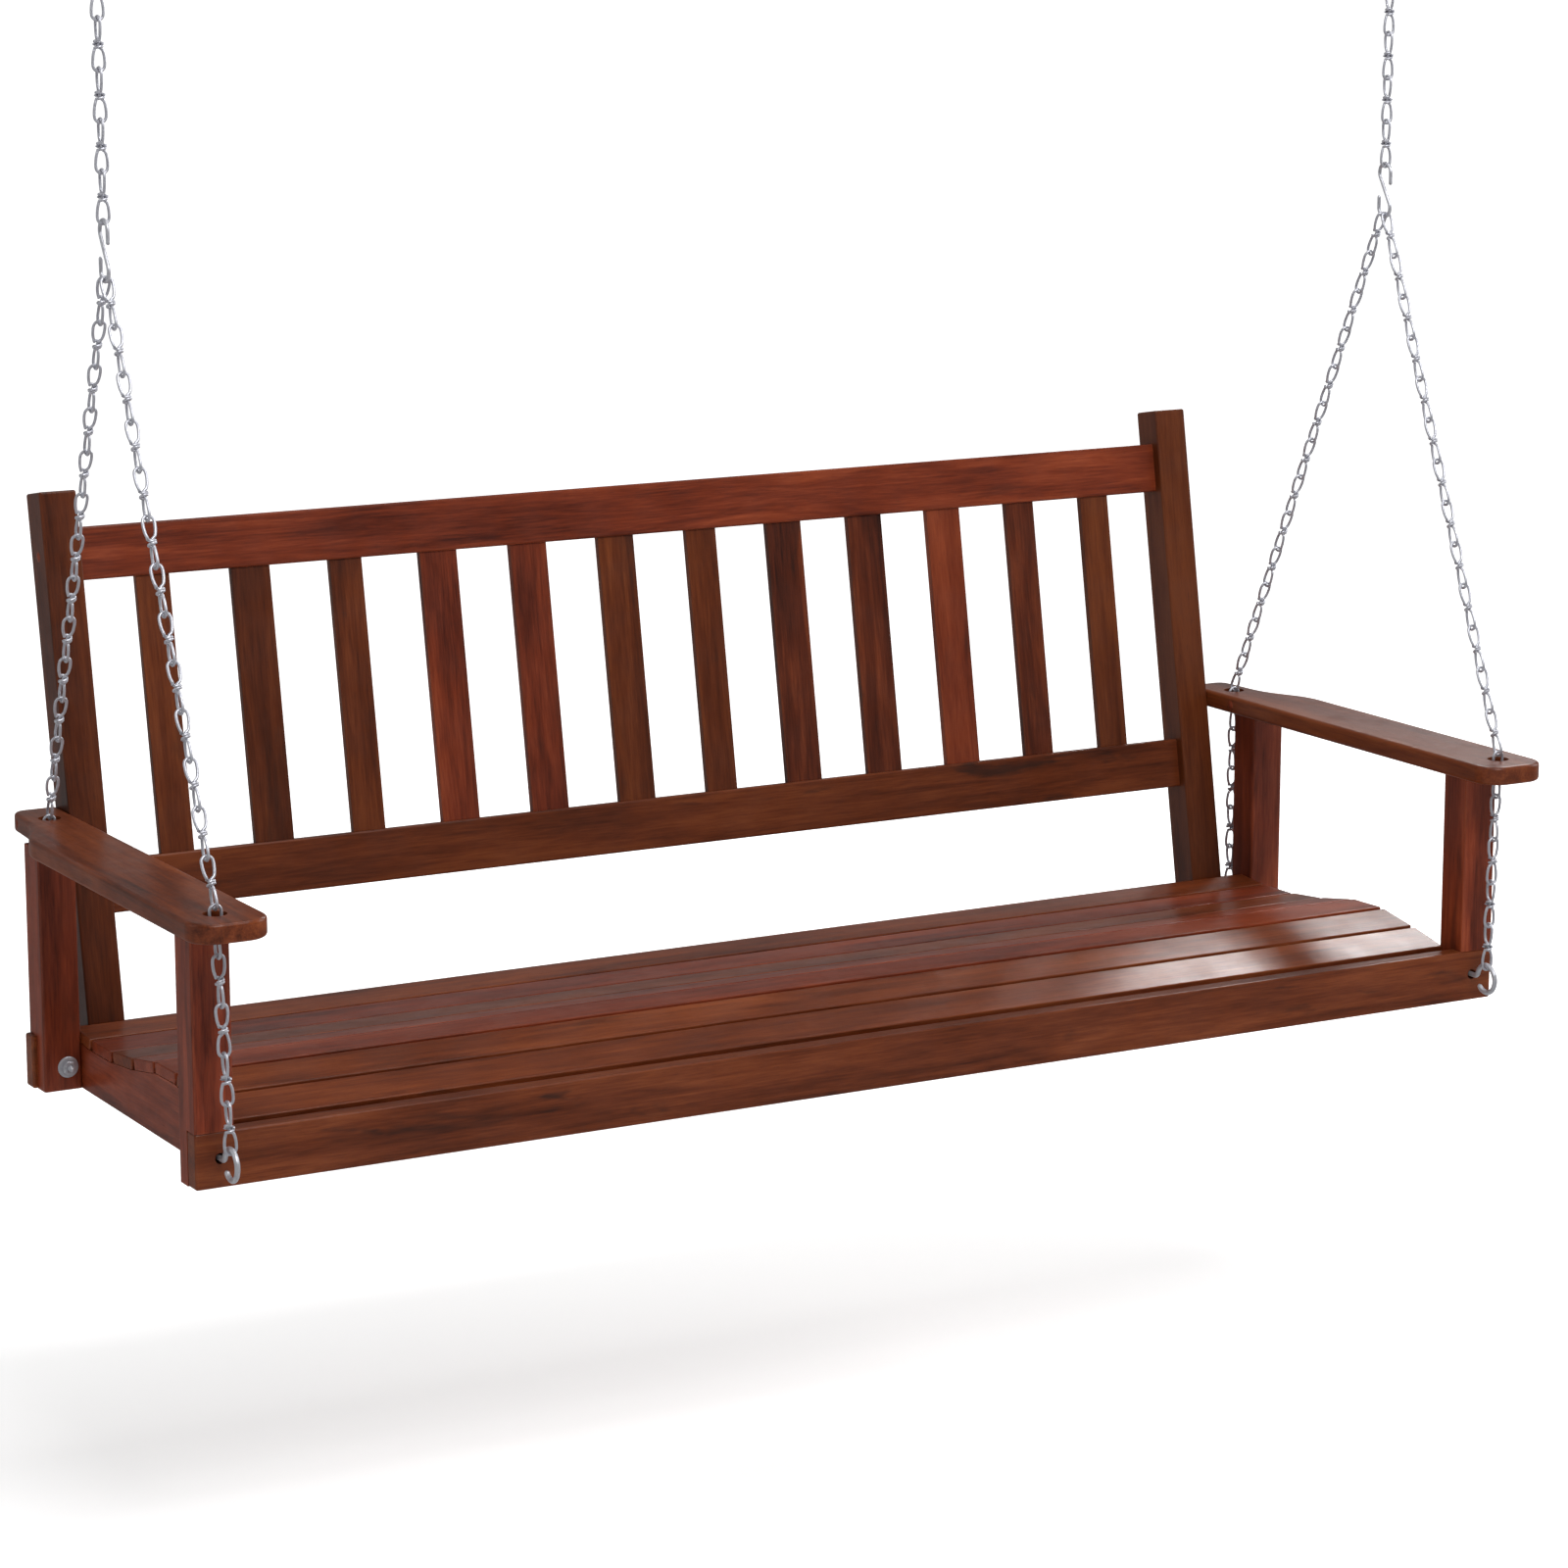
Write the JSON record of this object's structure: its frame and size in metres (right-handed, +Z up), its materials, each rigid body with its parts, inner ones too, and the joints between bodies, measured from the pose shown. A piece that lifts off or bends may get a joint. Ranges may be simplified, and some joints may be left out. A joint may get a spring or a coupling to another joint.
{
  "type": "porch swing",
  "caption": "Slatted hardwood porch swing with flat armrests and a leaning slat back, hung from V-shaped pairs of double-loop chain, S-hooks and ceiling screw hooks.",
  "frame": {"origin": "halfway between the two ceiling screw hooks, in the plane of the ceiling", "axes": "+X along the bench, to the right as seen from the front; +Y towards the back; +Z up"},
  "size_m": [1.56, 0.629, 1.2359],
  "materials": {
    "stained_hardwood": "reddish-brown stain under a satin clear coat",
    "hardwood_plug": "plugs and dowels of the same wood under the same coat",
    "zinc_steel": "bright zinc-plated steel wire",
    "screw_steel": "zinc-plated wood screws"
  },
  "bodies": {
    "ceiling": {"left_ceiling_hook": "zinc_steel", "right_ceiling_hook": "zinc_steel"},
    "left_hanger": {"left_s_hook": "zinc_steel", "left_upper_chain": "zinc_steel"},
    "right_hanger": {"right_s_hook": "zinc_steel", "right_upper_chain": "zinc_steel"},
    "seat": {"arm_dowels": "hardwood_plug", "arm_plugs": "hardwood_plug", "arm_screws": "screw_steel", "back_slat_01": "stained_hardwood", "back_slat_02": "stained_hardwood", "back_slat_03": "stained_hardwood", "back_slat_04": "stained_hardwood", "back_slat_05": "stained_hardwood", "back_slat_06": "stained_hardwood", "back_slat_07": "stained_hardwood", "back_slat_08": "stained_hardwood", "back_slat_09": "stained_hardwood", "back_slat_10": "stained_hardwood", "back_slat_11": "stained_hardwood", "back_slat_12": "stained_hardwood", "centre_bearer": "stained_hardwood", "front_rail": "stained_hardwood", "hook_bolt_nuts": "zinc_steel", "hook_bolt_washers": "zinc_steel", "hook_bolts": "zinc_steel", "left_armrest": "stained_hardwood", "left_front_leg_chain": "zinc_steel", "left_front_post": "stained_hardwood", "left_rear_leg_chain": "zinc_steel", "left_rear_post": "stained_hardwood", "left_side_rail": "stained_hardwood", "left_upright": "stained_hardwood", "lower_back_rail": "stained_hardwood", "rear_rail": "stained_hardwood", "right_armrest": "stained_hardwood", "right_front_leg_chain": "zinc_steel", "right_front_post": "stained_hardwood", "right_rear_leg_chain": "zinc_steel", "right_rear_post": "stained_hardwood", "right_side_rail": "stained_hardwood", "right_upright": "stained_hardwood", "seat_slat_1": "stained_hardwood", "seat_slat_2": "stained_hardwood", "seat_slat_3": "stained_hardwood", "seat_slat_4": "stained_hardwood", "seat_slat_5": "stained_hardwood", "seat_slat_6": "stained_hardwood", "seat_slat_7": "stained_hardwood", "side_rail_screws": "screw_steel", "top_rail": "stained_hardwood", "upright_foot_screws": "screw_steel", "upright_plugs": "hardwood_plug", "upright_screws": "screw_steel"}
  },
  "joints": [
    {"name": "left_hang", "type": "hinge", "parent": "ceiling", "child": "left_hanger", "pos_m": [-0.7443, 0, -0.04936], "axis": [1, 0, 0], "range_deg": [-30, 30]},
    {"name": "right_hang", "type": "hinge", "parent": "ceiling", "child": "right_hanger", "pos_m": [0.7443, 0, -0.04936], "axis": [1, 0, 0], "range_deg": [-30, 30]},
    {"name": "seat_pitch", "type": "hinge", "parent": "left_hanger", "child": "seat", "pos_m": [-0.7443, 0, -0.32886], "axis": [1, 0, 0], "range_deg": [-15, 15]}
  ],
  "couplings": [
    {"joint": "right_hang", "follows": "left_hang", "ratio": 1}
  ]
}
